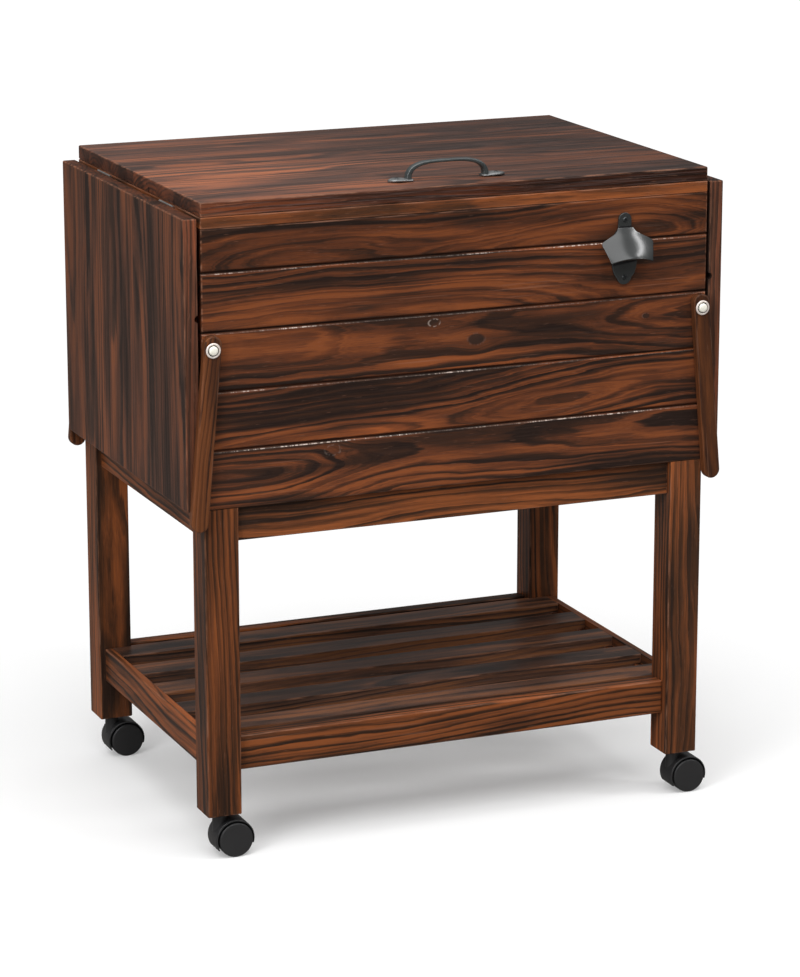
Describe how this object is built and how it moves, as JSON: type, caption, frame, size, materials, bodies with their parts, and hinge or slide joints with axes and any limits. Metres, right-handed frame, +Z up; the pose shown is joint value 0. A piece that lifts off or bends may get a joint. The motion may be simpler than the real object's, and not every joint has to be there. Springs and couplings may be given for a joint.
{
  "type": "rolling patio cooler",
  "caption": "Timber patio cooler on casters with a hinged lid over an insulated tub, drop leaves on swing arms, a slatted shelf and a wall-type bottle opener.",
  "frame": {"origin": "on the floor under the middle of the whole cooler with its leaves and arms down", "axes": "+Z up; +X to the cooler's right as seen from the front, along its width; +Y towards its rear, where the lid is hinged"},
  "size_m": [0.65, 0.466, 0.7708],
  "materials": {
    "wood": "satin stain over streaked softwood",
    "wood_dark": "dark satin stain",
    "wood_pale": "weathered satin stain",
    "pine": "plain board",
    "foam": "rigid foam",
    "white_plastic": "smooth moulded",
    "steel": "zinc plated",
    "bolt_steel": "bright plated",
    "dark_iron": "dark satin coat",
    "gunmetal": "polished dark plating",
    "black_wheel": "satin moulded",
    "black_plastic": "satin moulded"
  },
  "bodies": {
    "cabinet": {"leg_front_left": "wood", "leg_front_right": "wood", "leg_rear_left": "wood", "leg_rear_right": "wood", "apron_front": "wood_dark", "apron_rear": "wood_dark", "apron_left": "wood_dark", "apron_right": "wood_dark", "wall_front": "wood", "wall_rear": "wood", "wall_left": "wood", "wall_right": "wood", "top_frame": "wood_dark", "bottom_board": "pine", "insulation": "foam", "tub_liner": "white_plastic", "drain_plug": "black_plastic", "shelf_rail_front": "wood", "shelf_rail_rear": "wood", "shelf_rail_left": "wood", "shelf_rail_right": "wood", "shelf_slat_1": "wood_pale", "shelf_slat_2": "wood_pale", "shelf_slat_3": "wood_pale", "shelf_slat_4": "wood_pale", "shelf_slat_5": "wood_pale", "lid_hinge_left_box_half": "steel", "lid_hinge_right_box_half": "steel", "leaf_hinge_front_left_box_half": "steel", "leaf_hinge_front_right_box_half": "steel", "leaf_hinge_rear_left_box_half": "steel", "leaf_hinge_rear_right_box_half": "steel", "pivot_bolt_front_left": "bolt_steel", "pivot_bolt_front_right": "bolt_steel", "pivot_bolt_rear_left": "bolt_steel", "pivot_bolt_rear_right": "bolt_steel", "bottle_opener": "gunmetal"},
    "lid": {"lid": "wood", "lid_liner": "white_plastic", "lid_pull": "dark_iron", "lid_hinge_left_lid_half": "steel", "lid_hinge_right_lid_half": "steel"},
    "leaf_left": {"leaf_left": "wood_dark", "leaf_hinge_front_left_leaf_half": "steel", "leaf_hinge_rear_left_leaf_half": "steel"},
    "leaf_right": {"leaf_right": "wood_dark", "leaf_hinge_front_right_leaf_half": "steel", "leaf_hinge_rear_right_leaf_half": "steel"},
    "arm_front_left": {"arm_front_left": "wood_dark"},
    "arm_front_right": {"arm_front_right": "wood_dark"},
    "arm_rear_left": {"arm_rear_left": "wood_dark"},
    "arm_rear_right": {"arm_rear_right": "wood_dark"},
    "caster_front_left": {"caster_hood_front_left": "black_plastic"},
    "wheels_front_left": {"caster_wheels_front_left": "black_wheel"},
    "caster_front_right": {"caster_hood_front_right": "black_plastic"},
    "wheels_front_right": {"caster_wheels_front_right": "black_wheel"},
    "caster_rear_left": {"caster_hood_rear_left": "black_plastic"},
    "wheels_rear_left": {"caster_wheels_rear_left": "black_wheel"},
    "caster_rear_right": {"caster_hood_rear_right": "black_plastic"},
    "wheels_rear_right": {"caster_wheels_rear_right": "black_wheel"}
  },
  "joints": [
    {"name": "lid_hinge", "type": "hinge", "parent": "cabinet", "child": "lid", "pos_m": [0, 0.2198, 0.732], "axis": [-1, 0, 0], "range_deg": [0, 95]},
    {"name": "leaf_left_hinge", "type": "hinge", "parent": "cabinet", "child": "leaf_left", "pos_m": [-0.307, 0.006, 0.7302], "axis": [0, 1, 0], "range_deg": [0, 90]},
    {"name": "leaf_right_hinge", "type": "hinge", "parent": "cabinet", "child": "leaf_right", "pos_m": [0.307, 0.006, 0.7302], "axis": [0, -1, 0], "range_deg": [0, 90]},
    {"name": "arm_front_left_pivot", "type": "hinge", "parent": "cabinet", "child": "arm_front_left", "pos_m": [-0.296, -0.2105, 0.588], "axis": [0, 1, 0], "range_deg": [0, 135.2]},
    {"name": "arm_front_right_pivot", "type": "hinge", "parent": "cabinet", "child": "arm_front_right", "pos_m": [0.296, -0.2105, 0.588], "axis": [0, -1, 0], "range_deg": [0, 135.2]},
    {"name": "arm_rear_left_pivot", "type": "hinge", "parent": "cabinet", "child": "arm_rear_left", "pos_m": [-0.296, 0.2225, 0.588], "axis": [0, 1, 0], "range_deg": [0, 135.2]},
    {"name": "arm_rear_right_pivot", "type": "hinge", "parent": "cabinet", "child": "arm_rear_right", "pos_m": [0.296, 0.2225, 0.588], "axis": [0, -1, 0], "range_deg": [0, 135.2]},
    {"name": "caster_front_left_swivel", "type": "hinge", "parent": "cabinet", "child": "caster_front_left", "pos_m": [-0.285, -0.185, 0.052], "axis": [0, 0, 1], "continuous": true},
    {"name": "wheels_front_left_spin", "type": "hinge", "parent": "caster_front_left", "child": "wheels_front_left", "pos_m": [-0.27, -0.185, 0.02], "axis": [0, 1, 0], "continuous": true},
    {"name": "caster_front_right_swivel", "type": "hinge", "parent": "cabinet", "child": "caster_front_right", "pos_m": [0.285, -0.185, 0.052], "axis": [0, 0, 1], "continuous": true},
    {"name": "wheels_front_right_spin", "type": "hinge", "parent": "caster_front_right", "child": "wheels_front_right", "pos_m": [0.3, -0.185, 0.02], "axis": [0, 1, 0], "continuous": true},
    {"name": "caster_rear_left_swivel", "type": "hinge", "parent": "cabinet", "child": "caster_rear_left", "pos_m": [-0.285, 0.197, 0.052], "axis": [0, 0, 1], "continuous": true},
    {"name": "wheels_rear_left_spin", "type": "hinge", "parent": "caster_rear_left", "child": "wheels_rear_left", "pos_m": [-0.27, 0.197, 0.02], "axis": [0, 1, 0], "continuous": true},
    {"name": "caster_rear_right_swivel", "type": "hinge", "parent": "cabinet", "child": "caster_rear_right", "pos_m": [0.285, 0.197, 0.052], "axis": [0, 0, 1], "continuous": true},
    {"name": "wheels_rear_right_spin", "type": "hinge", "parent": "caster_rear_right", "child": "wheels_rear_right", "pos_m": [0.3, 0.197, 0.02], "axis": [0, 1, 0], "continuous": true}
  ]
}
